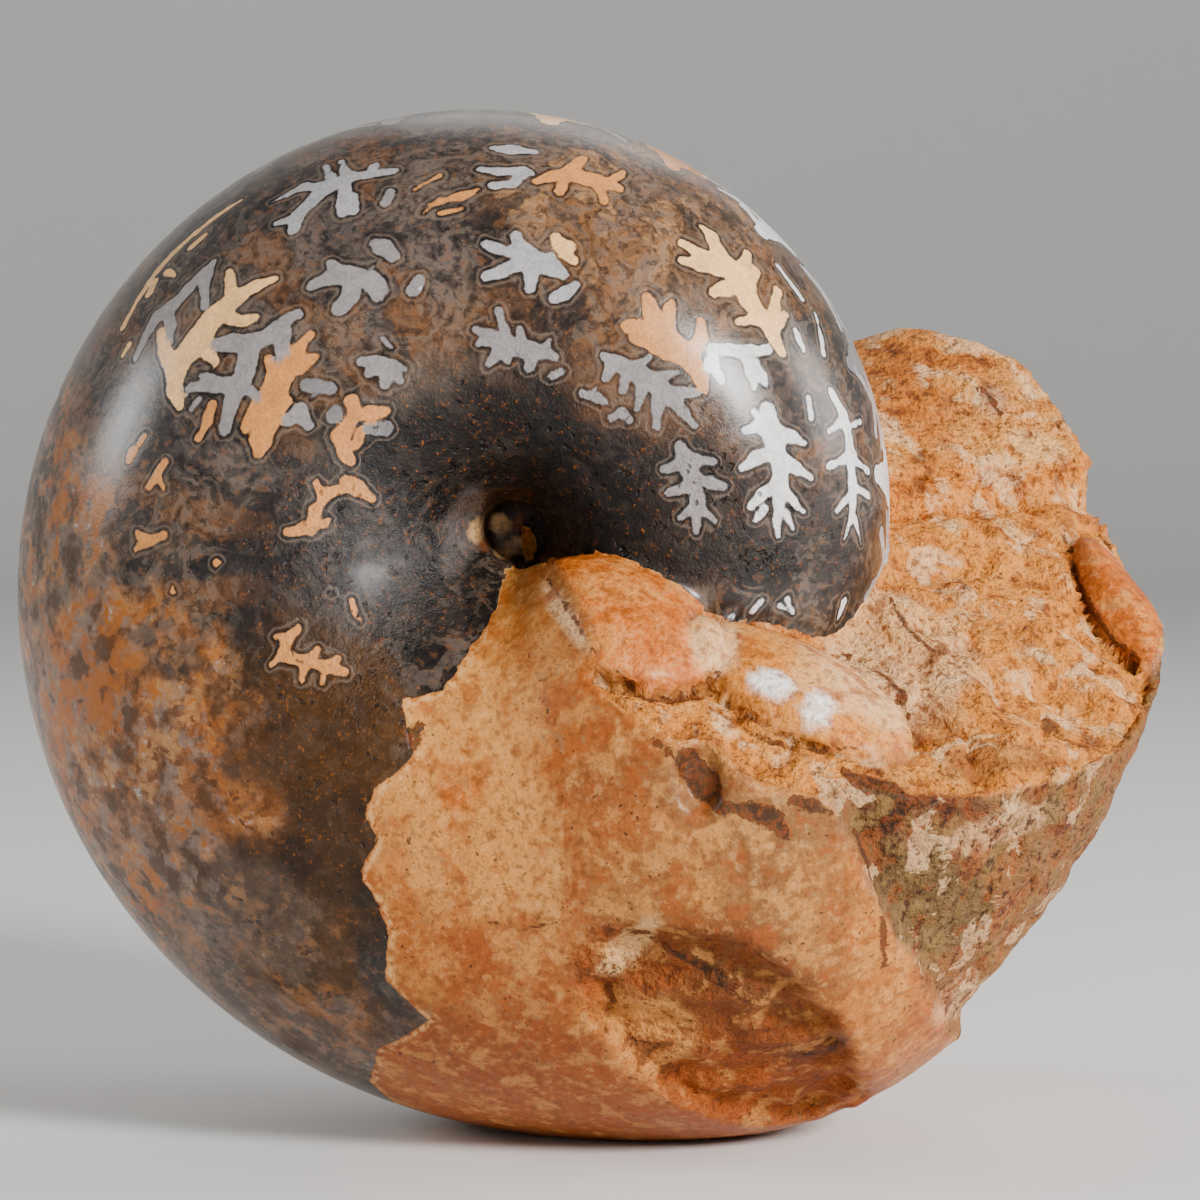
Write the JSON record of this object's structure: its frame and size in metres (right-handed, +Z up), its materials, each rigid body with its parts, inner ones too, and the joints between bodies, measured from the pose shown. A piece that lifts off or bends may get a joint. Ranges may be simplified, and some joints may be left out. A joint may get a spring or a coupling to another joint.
{
  "type": "ammonite fossil",
  "caption": "Polished ammonite fossil: a coiled stone shell whose stone-filled last whorl is broken off, resting on a small ground flat.",
  "frame": {"origin": "centre of the small ground flat under the specimen", "axes": "+Z up as it rests, +X across the coil towards the broken end of the last whorl, +Y along the coil's axis, away from the viewer"},
  "size_m": [0.1173, 0.0779, 0.1042],
  "materials": {
    "fossil_stone": "polished shell with leaf-shaped suture markings, dull broken limestone at the right"
  },
  "bodies": {
    "root": {"ammonite": "fossil_stone"}
  },
  "joints": []
}
